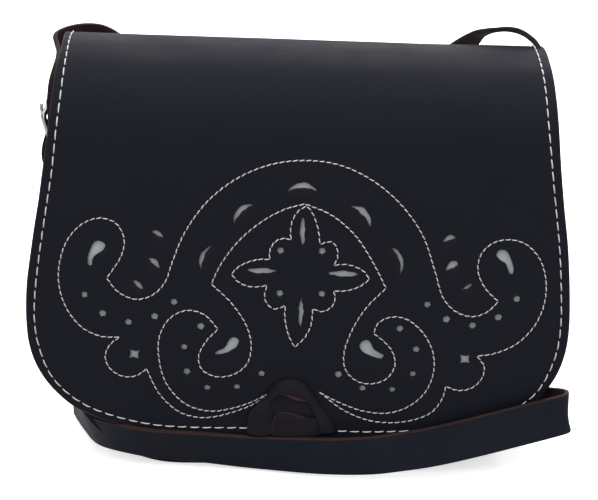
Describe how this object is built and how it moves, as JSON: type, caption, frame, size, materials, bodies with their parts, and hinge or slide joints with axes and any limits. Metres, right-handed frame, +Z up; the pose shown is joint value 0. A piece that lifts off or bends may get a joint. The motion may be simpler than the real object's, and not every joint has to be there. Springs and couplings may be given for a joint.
{
  "type": "flap shoulder bag",
  "caption": "Flap shoulder bag with cut-work and stitched ornament, a leather knot closure over a magnetic snap, and a long flat buckled strap wound round the body.",
  "frame": {"origin": "middle of the flat base, on the plane the bag stands on", "axes": "+X along the bag's width, towards its right side seen from the front; -Y towards the flap's front; +Z up"},
  "size_m": [0.2842, 0.0991, 0.2292],
  "materials": {
    "black_leather": "semi-matt grained black leather with brown raw edges",
    "strap_leather": "semi-matt black leather, brown raw edges and flesh side",
    "pale_inlay": "matt pale grey leather",
    "lining": "matt dark suede",
    "knot_leather": "semi-matt dark brown leather",
    "metal": "dark gunmetal, satin"
  },
  "bodies": {
    "bag": {"back_panel": "black_leather", "front_panel": "black_leather", "gusset": "black_leather", "snap_socket": "metal", "snap_washer": "metal", "shoulder_strap": "strap_leather", "strap_chape": "strap_leather", "strap_keeper": "strap_leather", "buckle_frame": "metal", "chape_rivet_1": "metal", "chape_rivet_2": "metal", "strap_rivet_1": "metal", "strap_rivet_2": "metal"},
    "flap": {"flap_cutwork": "black_leather", "flap_inlay": "pale_inlay", "flap_lining": "lining", "knot_loop": "knot_leather", "knot_collar": "knot_leather", "knot_tail_left": "knot_leather", "knot_tail_right": "knot_leather", "snap_stud": "metal"},
    "prong": {"buckle_prong": "metal"}
  },
  "joints": [
    {"name": "flap_hinge", "type": "hinge", "parent": "bag", "child": "flap", "pos_m": [0, 0.022, 0.218], "axis": [-1, 0, 0], "range_deg": [0, 110]},
    {"name": "prong_pivot", "type": "hinge", "parent": "bag", "child": "prong", "pos_m": [-0.1279, 0, 0.165], "axis": [0, -1, 0], "range_deg": [0, 6]}
  ]
}
